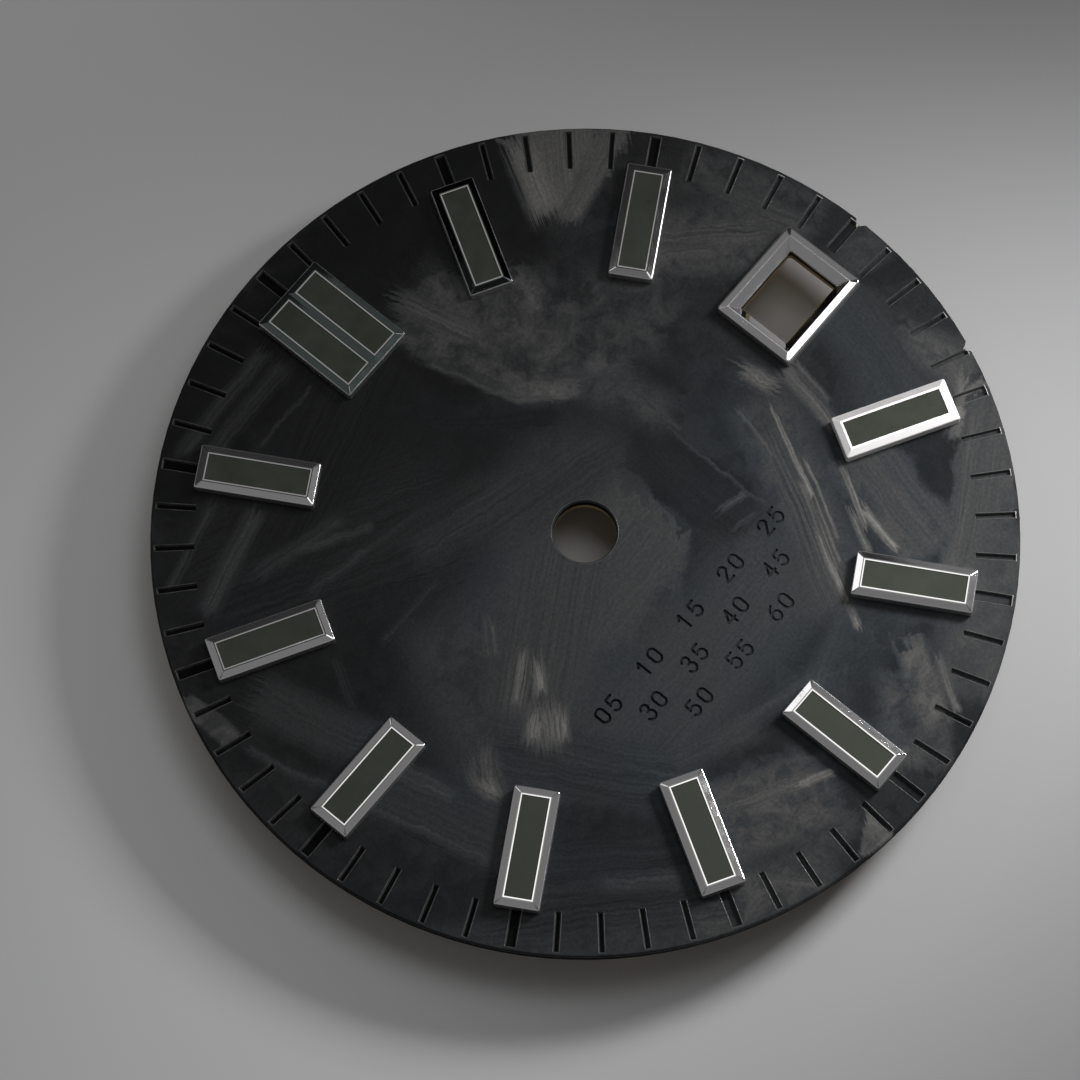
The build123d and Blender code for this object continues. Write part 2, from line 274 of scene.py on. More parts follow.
streaked_chips = (
    # Faint broad directions in the ground
    (-6.0, 6.2, 150, 9.0, 4.4, 0.019, 0.8, 1.2, 0.40),
    (-3.5, 8.5, 15, 8.0, 3.0, 0.013, 0.8, 1.0, 0.40),
    (0.6, 1.7, 165, 5.0, 1.8, 0.034, 0.8, 0.8, 0.25),
    (-0.6, -1.8, 0, 4.2, 2.6, 0.052, 0.8, 0.4, 0.14),
    (-0.5, -5.6, 0, 9.0, 3.4, 0.043, 0.8, 1.0, 0.11),
    (-8.6, -8.0, 135, 8.0, 3.0, 0.023, 0.8, 0.8, 0.35),
    (-6.3, -5.0, 120, 6.0, 2.0, 0.031, 0.8, 0.8, 0.30),
    (3.4, -1.8, 90, 4.2, 1.0, 0.018, 0.8, 0.4, 0.18),
    # In the pale ground and the mottled chips
    (-3.4, -1.2, 30, 6.0, 3.00, 0.048, 0.8, 0.70, 0.20),
    (-2.0, 3.2, 165, 4.4, 1.20, 0.034, 0.8, 0.50, 0.30),
    (1.7, 6.1, 105, 3.4, 0.14, 0.060, 0.6, 0.07, 0.46),
    (2.3, 4.7, 120, 2.2, 0.12, 0.060, 0.6, 0.07, 0.46),
    (2.6, 8.6, 105, 3.0, 0.70, 0.070, 1.0, 0.30, 0.35),
    (0.9, 4.9, 135, 4.4, 0.70, 0.014, 0.6, 0.30, 0.30),
    # Fan, partly a painted glint of its fibres
    (9.3, 8.9, 45, 3.8, 1.60, 0.110, 1.2, 0.30, 0.22, 0.40),
    (8.4, 9.3, 60, 2.6, 0.90, 0.170, 1.4, 0.35, 0.35),
    (9.8, 7.9, 15, 3.6, 0.70, 0.095, 1.2, 0.25, 0.25),
    # Right side
    (10.4, 3.6, 135, 4.4, 0.90, 0.058, 1.0, 0.30, 0.40),
    (9.2, 3.9, 135, 3.0, 0.40, 0.064, 0.8, 0.20, 0.30),
    (12.4, 3.2, 105, 3.6, 0.50, 0.050, 0.8, 0.30, 0.40),
    # Thin seams right of the hole
    (4.75, 1.0, 90, 2.4, 0.14, 0.044, 0.5, 0.07, 0.34),
    (4.5, -1.9, 90, 4.4, 0.12, 0.034, 0.5, 0.07, 0.40),
    (3.9, -3.05, 165, 1.2, 0.20, 0.046, 0.6, 0.08, 0.40),
    (3.7, -3.8, 165, 0.8, 0.18, 0.042, 0.5, 0.08, 0.40),
    # Long bright bundles that run down from the date frame
    (5.0, -5.2, 60, 6.4, 1.00, 0.054, 0.8, 0.35, 0.40),
    (7.2, -7.2, 75, 4.0, 0.80, 0.054, 0.8, 0.25, 0.24),
    (8.1, -7.3, 75, 3.2, 0.60, 0.048, 0.8, 0.25, 0.22),
    (11.0, -3.4, 75, 4.4, 2.00, 0.034, 0.8, 0.50, 0.15),
    (9.0, -9.2, 30, 7.0, 1.40, 0.052, 0.8, 0.30, 0.14),
    (6.5, -3.5, 60, 3.4, 0.11, 0.170, 0.8, 0.05, 0.50),
    (5.9, -5.2, 60, 2.8, 0.11, 0.135, 0.8, 0.05, 0.50),
    (5.5, -5.4, 60, 4.0, 0.09, 0.105, 0.8, 0.05, 0.50),
    (5.0, -5.8, 60, 3.2, 0.15, 0.120, 0.8, 0.06, 0.55),
    (4.1, -7.2, 60, 3.2, 0.21, 0.130, 0.9, 0.07, 0.55),
    (3.3, -8.6, 60, 0.9, 0.24, 0.130, 0.9, 0.08, 0.50),
    (6.6, -6.0, 60, 2.2, 0.18, 0.130, 0.9, 0.07, 0.55),
    (5.8, -6.9, 60, 1.8, 0.20, 0.105, 0.9, 0.08, 0.55),
    (6.3, -7.3, 75, 2.0, 0.24, 0.150, 0.9, 0.08, 0.55),
    (8.4, -2.8, 75, 2.4, 0.42, 0.098, 1.0, 0.20, 0.45),
    (8.9, -2.4, 75, 1.8, 0.16, 0.078, 0.8, 0.10, 0.45),
    (7.9, -1.0, 105, 1.4, 0.60, 0.100, 1.2, 0.22, 0.50),
    (6.3, -2.1, 75, 2.2, 0.11, 0.068, 0.8, 0.08, 0.40),
    (9.0, -8.6, 30, 5.6, 0.30, 0.060, 0.8, 0.16, 0.30),
    (3.5, -12.5, 60, 1.8, 0.26, 0.095, 0.8, 0.08, 0.45),
    # Curved bands under the numbers
    (-3.6, -7.4, 150, 4.6, 0.70, 0.041, 0.8, 0.35, 0.22),
    (-0.9, -8.3, 165, 4.4, 0.50, 0.043, 0.8, 0.35, 0.20),
    (2.2, -8.6, 15, 3.6, 0.50, 0.042, 0.8, 0.35, 0.20),
    (-5.6, -5.6, 120, 4.4, 0.90, 0.034, 0.8, 0.35, 0.35),
    # Between six and eight
    (-3.0, -10.2, 150, 3.2, 0.50, 0.066, 1.0, 0.25, 0.45),
    (-1.8, -11.0, 150, 1.4, 0.24, 0.125, 0.6, 0.08, 0.46),
    (-4.7, -12.8, 120, 1.4, 0.30, 0.065, 0.5, 0.07, 0.34),
    (-7.9, -8.9, 135, 2.8, 0.50, 0.040, 0.8, 0.30, 0.40),
    # Bright torn bits left of the numbers
    (-5.3, -1.7, 30, 2.0, 0.90, 0.062, 1.2, 0.35, 0.55),
    (-5.2, -1.5, 30, 1.8, 0.28, 0.105, 1.2, 0.14, 0.57),
    (-4.8, -2.0, 45, 1.0, 0.36, 0.140, 1.0, 0.14, 0.57),
    (-5.9, -3.2, 45, 1.6, 1.00, 0.090, 1.2, 0.32, 0.57),
    (-6.2, -2.9, 30, 1.0, 0.45, 0.135, 1.2, 0.20, 0.57),
    (-5.6, -3.6, 45, 0.8, 0.45, 0.156, 1.2, 0.18, 0.57),
    (-4.7, 0.1, 45, 1.4, 0.40, 0.065, 0.8, 0.17, 0.40),
    (-8.6, -3.0, 60, 1.5, 0.90, 0.085, 1.2, 0.35, 0.55),
    (-8.7, -3.2, 75, 0.9, 0.40, 0.125, 1.2, 0.18, 0.57),
    (-8.0, -2.4, 45, 1.2, 0.50, 0.060, 1.0, 0.25, 0.45),
    # Down the left side
    (-10.2, -2.6, 105, 5.6, 2.0, 0.038, 1.0, 0.20, 0.14),
    (-11.0, -2.6, 105, 4.4, 0.16, 0.044, 0.6, 0.07, 0.34),
    (-9.9, -1.4, 105, 2.2, 0.40, 0.057, 0.8, 0.14, 0.40),
    (-10.5, 2.5, 105, 4.6, 1.6, 0.038, 1.0, 0.40, 0.20),
    (-12.2, 2.2, 105, 3.4, 0.30, 0.036, 0.8, 0.14, 0.40),
    (-8.9, 2.7, 60, 1.8, 0.24, 0.028, 0.6, 0.11, 0.40),
    # Soft curved streaks of the upper left
    (-8.2, 8.2, 15, 3.8, 0.60, 0.048, 1.0, 0.25, 0.45),
    (-8.6, 9.6, 15, 3.4, 0.30, 0.037, 0.8, 0.14, 0.46),
    (-6.4, 6.8, 165, 3.6, 0.50, 0.034, 1.0, 0.25, 0.45),
    (-5.4, 6.1, 150, 2.6, 0.24, 0.045, 0.8, 0.11, 0.46),
    (-4.2, 12.1, 0, 4.4, 0.55, 0.034, 1.0, 0.20, 0.45),
    (-4.0, 11.3, 0, 4.4, 0.60, 0.028, 0.8, 0.20, 0.45),
    (-3.2, 10.2, 0, 2.6, 0.12, 0.034, 0.6, 0.07, 0.46),
    (-5.0, 5.0, 165, 5.0, 0.30, 0.030, 0.8, 0.14, 0.46),
    (-5.6, 2.7, 0, 3.0, 0.24, 0.028, 0.8, 0.11, 0.40),
    (-3.0, 4.4, 165, 4.6, 0.60, 0.024, 0.8, 0.30, 0.22),
)

# Shades of the fibres in their resin, from a dark chip to a bright one, and the cool tint that dark
# chips have in the lower half
carbon_shades = (
    (0.00, (0.0030, 0.0031, 0.0034, 1.0)),
    (0.04, (0.0136, 0.0142, 0.0152, 1.0)),
    (0.12, (0.0412, 0.0425, 0.0442, 1.0)),
    (0.30, (0.1060, 0.1040, 0.1010, 1.0)),
    (0.70, (0.2500, 0.2440, 0.2320, 1.0)),
)
shade_span = 0.35
darkest_chip = 0.004
cool_tint = (0.885, 1.0, 1.105, 1.0)
cool_slope = -0.022
cool_span = (0.35, 0.75)
cool_shades = (0.038, 0.054)
cool_rim = (11.0, 13.0)
cool_at_rim = 0.3
fine_span = (0.25, 0.75)
fine_shades = (0.82, 1.18)
carbon_roughness = (0.48, 0.38)
rough_shades = (0.01, 0.14)
carbon_gloss = 0.07
grinding_depth = 0.003

# Where a cutter has gone in: heights of the floor and of the sides below the face, the painted
# shade of the floor and how it lightens along x and y towards the lamp, and the shades of the sides
floor_below = (0.050, 0.020)
side_below = (0.13, 0.10)
floor_shade_slopes = (0.03, -0.045)
floor_shade_span = (-0.1, 0.5)
floor_shade_shares = (0.10, 0.85)
floor_roughness = 0.5
side_facing = (0.30, 0.60)
side_shades = (0.05, 0.11)


def mix_values(tree, share, first, second):
    return step(tree, "Mix", {0: share, 2: first, 3: second}).outputs[0]


def chip_maker(name, flares):
    """A step that lays one chip over what is below it."""
    tree = bpy.data.node_groups.new(name, "ShaderNodeTree")
    sockets = ("Along", "Across", "Streaks", "Below", "Middle Along", "Middle Across", "Half Length",
               "Half Width", "Flare", "Lightness", "Ragged", "Soft", "Contrast")
    for socket in sockets:
        tree.interface.new_socket(socket, in_out="INPUT", socket_type="NodeSocketFloat")
    tree.interface.new_socket("Shade", in_out="OUTPUT", socket_type="NodeSocketFloat")
    given = tree.nodes.new("NodeGroupInput").outputs
    ahead = calc(tree, "SUBTRACT", given["Along"], given["Middle Along"])
    aside = calc(tree, "ABSOLUTE", calc(tree, "SUBTRACT", given["Across"], given["Middle Across"]))
    half_width = given["Half Width"]
    if flares:
        half_width = calc(tree, "MULTIPLY_ADD", ahead, given["Flare"], half_width)
    masks = []
    torn_end_share, torn_side_share = 0.36, 0.6
    torn = calc(tree, "MULTIPLY", given["Ragged"], torn_end_share)
    frayed = calc(tree, "MULTIPLY", calc(tree, "MULTIPLY", torn, given["Half Width"]), torn_side_share)
    for away, half, ragged in ((calc(tree, "ABSOLUTE", ahead), given["Half Length"], torn),
                               (aside, half_width, frayed)):
        away = calc(tree, "MULTIPLY_ADD", given["Streaks"], ragged, away)
        inner = calc(tree, "SUBTRACT", half, given["Soft"])
        outer = calc(tree, "ADD", half, given["Soft"])
        masks.append(ramp(tree, away, inner, outer, 1.0, 0.0))
    mask = calc(tree, "MULTIPLY", *masks)
    swing = calc(tree, "MULTIPLY", given["Lightness"], given["Contrast"])
    shade = calc(tree, "MULTIPLY_ADD", given["Streaks"], swing, given["Lightness"])
    shade = calc(tree, "MAXIMUM", shade, darkest_chip)
    over = mix_values(tree, mask, given["Below"], shade)
    leaving = tree.nodes.new("NodeGroupOutput")
    tree.links.new(over, leaving.inputs["Shade"])
    return tree


def fibre_axes(turn):
    """The directions along and across the fibres, for one of the steps of half a turn."""
    angle = math.radians(turn * 180 / fibre_turns)
    return (math.cos(angle), math.sin(angle), 0.0), (-math.sin(angle), math.cos(angle), 0.0)


carbon = new_finish("forged_carbon")
tree = carbon.node_tree
place = places_in_mm(tree)
parts = split(tree, place)
flat_place = joined(tree, parts["X"], parts["Y"])
swirl = step(tree, "TexNoise", {"Vector": flat_place, "Scale": 0.9, "Detail": 2.0}).outputs["Color"]
swirled = vector_calc(tree, "ADD", flat_place, scaled(tree, swirl, swirl_reach))
mottle = ramp(tree, grain(tree, swirled, 1.1, 6.0, 0.66), *mottle_span, -1.0, 1.0)

# Ground of small chips all over, each in the loose direction of its layer
shade = calc(tree, "MULTIPLY_ADD", mottle, ground_swing, ground_shade)
for layer, (turn, length, width) in enumerate(small_chip_layers):
    along_axis, across_axis = fibre_axes(turn)
    torn = calc(tree, "MULTIPLY", mottle, small_chip_fray)
    along = calc(tree, "MULTIPLY_ADD", vector_calc(tree, "DOT_PRODUCT", flat_place, along_axis),
                 1 / length, torn)
    across = calc(tree, "MULTIPLY_ADD", vector_calc(tree, "DOT_PRODUCT", flat_place, across_axis),
                  1 / width, torn)
    spot = joined(tree, along, across, layer * layer_shift)
    cell = step(tree, "TexVoronoi", {"Vector": spot, "Scale": 1.0}).outputs["Color"]
    draw = step(tree, "SeparateColor", {"Color": cell}).outputs
    lightness = ramp(tree, draw["Red"], 0.0, 1.0, *small_chip_shades)
    cover = ramp(tree, draw["Green"], *small_chip_draw, 0.0, small_chip_cover)
    shade = mix_values(tree, cover, shade, lightness)

# Places along and across the fibres for each direction, a little uneven over the chips below
wander = step(tree, "TexNoise", {"Vector": flat_place, "Scale": 0.18, "Detail": 1.0}).outputs["Color"]
wander = scaled(tree, vector_calc(tree, "SUBTRACT", wander, (0.5, 0.5, 0.5)), tow_drift)
settled = calc(tree, "MULTIPLY_ADD", mottle, chip_step, shade)
uneven = joined(tree, settled, settled)
flow = vector_calc(tree, "ADD", vector_calc(tree, "ADD", flat_place, wander), uneven)
fibre_field = []
for turn in range(fibre_turns):
    along_axis, across_axis = fibre_axes(turn)
    along = vector_calc(tree, "DOT_PRODUCT", flow, along_axis)
    across = vector_calc(tree, "DOT_PRODUCT", flow, across_axis)
    spot = joined(tree, calc(tree, "DIVIDE", along, fibre_length),
                  calc(tree, "DIVIDE", across, fibre_width), turn * turn_shift)
    streaks = ramp(tree, grain(tree, spot, 1.0, 4.0, 0.66), *streak_span, -1.0, 1.0)
    fibre_field.append((calc(tree, "MULTIPLY_ADD", streaks, fibre_fray, along),
                        calc(tree, "MULTIPLY_ADD", streaks, fibre_width / 2, across), streaks))

# The chips, laid one over another in their order
plain_chip = chip_maker("plain_chip", False)
flared_chip = chip_maker("flared_chip", True)
for number, (x, y, angle, length, width, lightness, ragged, soft, contrast, *flare) in enumerate(
        cloudy_chips + streaked_chips):
    turn = round(angle * fibre_turns / 180) % fibre_turns
    along_axis, across_axis = fibre_axes(turn)
    along, across, streaks = fibre_field[turn]
    laid = tree.nodes.new("ShaderNodeGroup")
    laid.node_tree = flared_chip if flare else plain_chip
    tree.links.new(along, laid.inputs["Along"])
    tree.links.new(across, laid.inputs["Across"])
    tree.links.new(mottle if number < len(cloudy_chips) else streaks, laid.inputs["Streaks"])
    tree.links.new(shade, laid.inputs["Below"])
    sizes = {"Middle Along": x * along_axis[0] + y * along_axis[1],
             "Middle Across": x * across_axis[0] + y * across_axis[1],
             "Half Length": length / 2, "Half Width": width / 2, "Lightness": lightness,
             "Flare": flare[0] if flare else 0.0, "Ragged": ragged, "Soft": soft,
             "Contrast": contrast}
    for name, size in sizes.items():
        laid.inputs[name].default_value = size
    shade = laid.outputs["Shade"]

# Fine grain of the ground surface, then floors darkened by painted shade and paler sides where a cutter has
# gone in
fine = grain(tree, place, 9.0, 4.0, 0.65)
shade = calc(tree, "MULTIPLY", shade, ramp(tree, fine, *fine_span, *fine_shades))
facing = split(tree, step(tree, "NewGeometry").outputs["Normal"])["Z"]
floor_top, floor_bottom = dial_top - floor_below[1], dial_top - floor_below[0]
below = ramp(tree, parts["Z"], floor_bottom, floor_top, 1.0, 0.0)
# Painted shade: the floors of cuts are darker, least towards the lamp at the lower right
floor_light_slant = calc(tree, "MULTIPLY_ADD", parts["Y"], floor_shade_slopes[1],
             calc(tree, "MULTIPLY", parts["X"], floor_shade_slopes[0]))
painted_floor_shade = ramp(tree, floor_light_slant, *floor_shade_span, *floor_shade_shares)
shade = mix_values(tree, below, shade, calc(tree, "MULTIPLY", shade, painted_floor_shade))
side_top, side_bottom = dial_top - side_below[1], dial_top - side_below[0]
side = calc(tree, "MULTIPLY", ramp(tree, facing, *side_facing, 1.0, 0.0),
            ramp(tree, parts["Z"], side_bottom, side_top))
shade = mix_values(tree, side, shade, spread(tree, fine, *side_shades))
stops = step(tree, "ValToRGB", {"Fac": calc(tree, "DIVIDE", shade, shade_span)})
for number, (position, colour) in enumerate(carbon_shades):
    stop = stops.color_ramp.elements[number] if number < 2 else stops.color_ramp.elements.new(position)
    stop.position = position
    stop.color = colour
rough = ramp(tree, shade, *rough_shades, *carbon_roughness)
rough = calc(tree, "MULTIPLY_ADD", below, floor_roughness, rough)

# The cool tint lies on dark chips of the lower half and fades at the rim
cool = calc(tree, "MULTIPLY_ADD", parts["Y"], cool_slope, grain(tree, flat_place, 0.25, 2.0))
cool = calc(tree, "MULTIPLY", ramp(tree, cool, *cool_span), ramp(tree, shade, *cool_shades, 1.0, 0.0))
off_axis = vector_calc(tree, "LENGTH", flat_place)
cool = calc(tree, "MULTIPLY", cool, ramp(tree, off_axis, *cool_rim, 1.0, cool_at_rim))
tinted = step(tree, "Mix", {0: cool, 6: stops.outputs["Color"], 7: cool_tint}, data_type="RGBA",
              blend_type="MULTIPLY").outputs[2]
feed(tree, Base_Color=tinted, Specular_IOR_Level=carbon_gloss, Roughness=rough)
relief(tree, fine, grinding_depth)
dress("carbon_face", carbon)

# Lips of the grooves. The cutter that opens each minute groove pushes a thin burr of resin up
# along both sides and round the outer end, and the same happens round the hole for the hands.
minutes = 60
hours = 12
groove_reach = (12.79, 14.11)
minute_half_width = 0.09
hour_half_width = 0.17
lip_width = 0.036
lip_height = 0.016
lip_sink = 0.004
lip_step = 0.10
lip_height_shares = (0.45, 1.0)
lip_width_shares = (0.8, 1.1)
lip_end_share = 0.3
hole_radius = 1.05
hole_chamfer = 0.04
hole_points = 64
resin_dark = (0.020, 0.023, 0.024, 1.0)
resin_pale = (0.085, 0.085, 0.082, 1.0)
resin_lit = (0.11, 0.11, 0.107, 1.0)
resin_glint = (0.45, 0.45, 0.44, 1.0)
resin_roughness = (0.40, 0.22)
burr_depth = 0.004

# Section of a lip, in half widths aside and heights up, and where the burr has painted light: paler
# below this y, and a painted glint at the outer ends of the grooves that lie past this x and below this y
lip_profile_shares = ((-1.0, 0.0), (-0.6, 0.72), (0.0, 1.0), (0.6, 0.72), (1.0, 0.0))
lit_lips_below = (-9.0, -4.0)
glint_ends = (14.100, 14.125)
glint_past = (5.5, 8.0)
glint_below = (4.0, 6.0)
luck = random.Random(4)


def lip_strip(points, vertices, faces, closed=False):
    """A low rounded ridge along a line of points, uneven in height as a burr is."""
    first = len(vertices)
    count = len(points)
    for number, point in enumerate(points):
        before = points[(number - 1) % count] if closed or number else point
        after = points[(number + 1) % count] if closed or number < count - 1 else point
        forward = (after - before).normalized()
        aside = Vector((-forward.y, forward.x, 0.0))
        tall = lip_height * luck.uniform(*lip_height_shares)
        wide = lip_width / 2 * luck.uniform(*lip_width_shares)
        if not closed and number in (0, count - 1):
            tall, wide = 0.0, wide * lip_end_share
        for share_aside, share_up in lip_profile_shares:
            spot = point + aside * (share_aside * wide)
            spot.z = dial_top - lip_sink + share_up * (tall + lip_sink)
            vertices.append(spot * MM)
    rows = count if closed else count - 1
    across = len(lip_profile_shares)
    for row in range(rows):
        for column in range(across - 1):
            near = first + row * across + column
            far = first + (row + 1) % count * across + column
            faces.append((near, far, far + 1, near + 1))


def new_mesh(name, vertices, faces, finish):
    """A mesh of one finish, from its corners in metres."""
    mesh = bpy.data.meshes.new(name)
    mesh.from_pydata(vertices, [], faces)
    mesh.materials.append(finish)
    made = bpy.data.objects.new(name, mesh)
    bpy.context.scene.collection.objects.link(made)
    return made


def along_line(start, end):
    count = max(2, round((end - start).length / lip_step))
    return [start.lerp(end, number / count) for number in range(count + 1)]


vertices, faces = [], []
inner, outer = groove_reach[0] - lip_width / 2, groove_reach[1] + lip_width / 2
for minute in range(minutes):
    half = hour_half_width if minute % (minutes // hours) == 0 else minute_half_width
    half += lip_width / 2
    turned = Matrix.Rotation(math.radians(90 - minute * 360 / minutes), 3, "Z")
    corners = [Vector((inner, half, 0)), Vector((outer, half, 0)), Vector((outer, -half, 0)),
               Vector((inner, -half, 0))]
    line = []
    for start, end in zip(corners, corners[1:]):
        line += along_line(start, end)[:-1]
    line.append(corners[-1])
    lip_strip([turned @ point for point in line], vertices, faces)
rim_radius = hole_radius + hole_chamfer + lip_width / 2
lip_strip([Vector((rim_radius * math.cos(math.tau * number / hole_points),
                   rim_radius * math.sin(math.tau * number / hole_points), 0))
           for number in range(hole_points)], vertices, faces, closed=True)

lip_finish = new_finish("groove_lip_resin")
tree = lip_finish.node_tree
place = places_in_mm(tree)
parts = split(tree, place)
flat_place = joined(tree, parts["X"], parts["Y"])
uneven = grain(tree, place, 2.0, 3.0, 0.6)
resin = mix_colours(tree, spread(tree, uneven), resin_dark, resin_pale)
# Painted light: the lips are paler in the lower part of the dial
resin = mix_colours(tree, ramp(tree, parts["Y"], *lit_lips_below, 0.5, 0.0), resin, resin_lit)
# Painted glint: pale outer ends of the grooves on the right side, towards the lamp
end_glint = ramp(tree, vector_calc(tree, "LENGTH", flat_place), *glint_ends)
end_glint = calc(tree, "MULTIPLY", end_glint, ramp(tree, parts["X"], *glint_past))
end_glint = calc(tree, "MULTIPLY", end_glint, ramp(tree, parts["Y"], *glint_below, 1.0, 0.0))
feed(tree, Base_Color=mix_colours(tree, end_glint, resin, resin_glint),
     Roughness=spread(tree, uneven, *resin_roughness))
relief(tree, grain(tree, place, 14.0, 3.0), burr_depth)

lips = new_mesh("groove_lips", vertices, faces, lip_finish)
for polygon in lips.data.polygons:
    polygon.use_smooth = True
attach(lips, "root")

# Baton markers. Steel blocks with plated mirror facets, each held by two pins. Handling leaves
# hairline scratches and a burnished line along every outer edge. The flat rims are dull, with a
# painted highlight line at the fill.
index_length = 4.00
index_width = 1.50
double_width = 2.88
index_middle_radius = 10.90
single_hours = (1, 2, 4, 5, 6, 7, 8, 9, 10, 11)
steel = (0.70, 0.685, 0.692, 1.0)
steel_bright = (0.80, 0.79, 0.78, 1.0)
steel_satin = (0.88, 0.86, 0.86, 1.0)
steel_dull = (0.085, 0.084, 0.088, 1.0)
steel_highlight = (0.42, 0.415, 0.405, 1.0)
steel_roughness = (0.05, 0.09)
darkened_tint = (0.82, 1.0, 0.97)
burnish_reach = (0.030, 0.075)
burnish_wander = 0.05
crest_reach = (0.010, 0.030)
crest_shine = 0.8
hairline_scale = (2.2, 34.0)
hairline_span = (0.60, 0.74)
scuff_span = (0.50, 0.66)
scuff_growth = 0.12
flat_facing = (0.965, 0.99)
worn_roughness = 0.30
wear_depth = 0.0015

# The rim round the fill: its width, the rib between the two pockets at twelve, and the painted
# highlight line, which is greyer below this y. A pocket is its half length, how far its middle lies
# aside, and its half width.
border_width = 0.30
rib_width = 0.39
rim_line = 0.028
rim_line_fade = 0.025
grey_highlight_below = (-4.0, -2.0)
single_pocket = (index_length / 2 - border_width, 0.0, index_width / 2 - border_width)
double_pocket = (index_length / 2 - border_width, (double_width / 2 - border_width + rib_width / 2) / 2,
                 (double_width / 2 - border_width - rib_width / 2) / 2)

# Wear of each marker, how satin it is, and how much of its shine the plating of the facets keeps.
# In the photograph the facets at one, two and twelve look dark and those at four look white, most
# likely from what they mirror. Darker and satin platings stand in for that here.
light_wear = 0.35
marker_wear = {6: 1.0, 12: 0.3}
marker_satin = {4: 0.45}
marker_shine = {1: 0.04, 2: 0.75, 12: 0.28}
tinted_below = 0.5


def marker_axes(tree, place, angle, middle):
    """How far along and across a marker a place lies, counted from the marker's middle."""
    turn = math.radians(angle)
    along = vector_calc(tree, "DOT_PRODUCT", place, (math.cos(turn), math.sin(turn), 0.0))
    across = vector_calc(tree, "DOT_PRODUCT", place, (-math.sin(turn), math.cos(turn), 0.0))
    return calc(tree, "SUBTRACT", along, middle), across


def polished_steel(name, angle, middle, length, width, wear, satin=0.0, shine=1.0, pocket=None,
                   crest=None):
    """Plated steel. With little shine the facets are painted dark, but the flat rim isn't, which has a
    painted highlight line along its pocket. A crest is a line this far in from the edge, rubbed bright."""
    finish = new_finish(name)
    tree = finish.node_tree
    place = places_in_mm(tree)
    along, across = marker_axes(tree, place, angle, middle)
    to_end = calc(tree, "SUBTRACT", length / 2, calc(tree, "ABSOLUTE", along))
    to_side = calc(tree, "SUBTRACT", width / 2, calc(tree, "ABSOLUTE", across))
    to_edge = calc(tree, "MINIMUM", to_end, to_side)
    cloud = grain(tree, place, 1.6, 4.0, 0.6)
    ragged = calc(tree, "MULTIPLY_ADD", cloud, burnish_wander, to_edge)
    burnish = ramp(tree, ragged, *burnish_reach, 1.0, 0.0)
    spot = joined(tree, calc(tree, "MULTIPLY", along, hairline_scale[0]),
                  calc(tree, "MULTIPLY", across, hairline_scale[1]))
    hairlines = ramp(tree, grain(tree, spot, 1.0, 4.0, 0.7), *hairline_span)
    scuff_from, scuff_full = scuff_span
    scuffs = ramp(tree, cloud, scuff_from - wear * scuff_growth, scuff_full)
    scuffs = calc(tree, "MULTIPLY", hairlines, scuffs)
    worn = calc(tree, "MAXIMUM", burnish, calc(tree, "MULTIPLY", scuffs, wear))
    if crest:
        off_crest = calc(tree, "ABSOLUTE", calc(tree, "SUBTRACT", to_edge, crest))
        worn = calc(tree, "MAXIMUM", worn, ramp(tree, off_crest, *crest_reach, crest_shine, 0.0))
    roughness = spread(tree, cloud, *steel_roughness)
    roughness = calc(tree, "MULTIPLY_ADD", worn, worn_roughness, calc(tree, "ADD", roughness, satin))
    facing = split(tree, step(tree, "NewGeometry").outputs["Normal"])["Z"]
    facet = ramp(tree, facing, *flat_facing, 1.0, 0.0)
    plating = steel_satin if satin else steel
    tint = darkened_tint if shine < tinted_below else (1.0, 1.0, 1.0)
    darkened = tuple(part * shine * shift for part, shift in zip(plating, tint)) + (1.0,)
    if pocket and not satin:
        half_length, offset, half_width = pocket
        beyond_end = calc(tree, "SUBTRACT", calc(tree, "ABSOLUTE", along), half_length)
        aside = calc(tree, "ABSOLUTE", calc(tree, "SUBTRACT", calc(tree, "ABSOLUTE", across), offset))
        beyond = calc(tree, "MAXIMUM", beyond_end, calc(tree, "SUBTRACT", aside, half_width))
        # Painted highlight: a bright line along the pocket on the dark rim, greyer in the lower part of the
        # dial
        lower = ramp(tree, split(tree, place)["Y"], *grey_highlight_below, 1.0, 0.0)
        plating = mix_colours(tree, lower, plating, steel_highlight)
        off_line = ramp(tree, beyond, rim_line, rim_line + rim_line_fade)
        plating = mix_colours(tree, off_line, plating, steel_dull)
    plating = mix_colours(tree, facet, plating, darkened)
    feed(tree, Metallic=1.0, Base_Color=mix_colours(tree, worn, plating, steel_bright),
         Roughness=roughness)
    uneven = calc(tree, "MULTIPLY_ADD", scuffs, wear, calc(tree, "MULTIPLY", cloud, 0.3))
    relief(tree, uneven, wear_depth)
    return finish


for hour in (*single_hours, 12):
    finish = polished_steel(f"steel_{hour:02d}", 90 - hour * 360 / hours, index_middle_radius,
                            index_length, double_width if hour == 12 else index_width,
                            marker_wear.get(hour, light_wear), marker_satin.get(hour, 0.0),
                            marker_shine.get(hour, 1.0),
                            double_pocket if hour == 12 else single_pocket)
    dress(f"index_{hour:02d}", finish)

# Luminous fill of the markers. A thick paint of pigment grains, laid in each pocket by hand and
# dried a little below the rim: olive grey by day, with a faint mottle and a low sheen.
lume_green = (0.022, 0.025, 0.018, 1.0)
lume_grey = (0.036, 0.040, 0.031, 1.0)
lume_sheen = (0.95, 1.0, 0.89, 1.0)
lume_roughness = (0.27, 0.35)
lume_gloss = 0.28
lume_span = (0.45, 0.95)
pigment_share = 0.35
pigment_depth = 0.0006
lume_nodes = [f"lume_{hour:02d}" for hour in single_hours] + ["lume_12_left", "lume_12_right"]

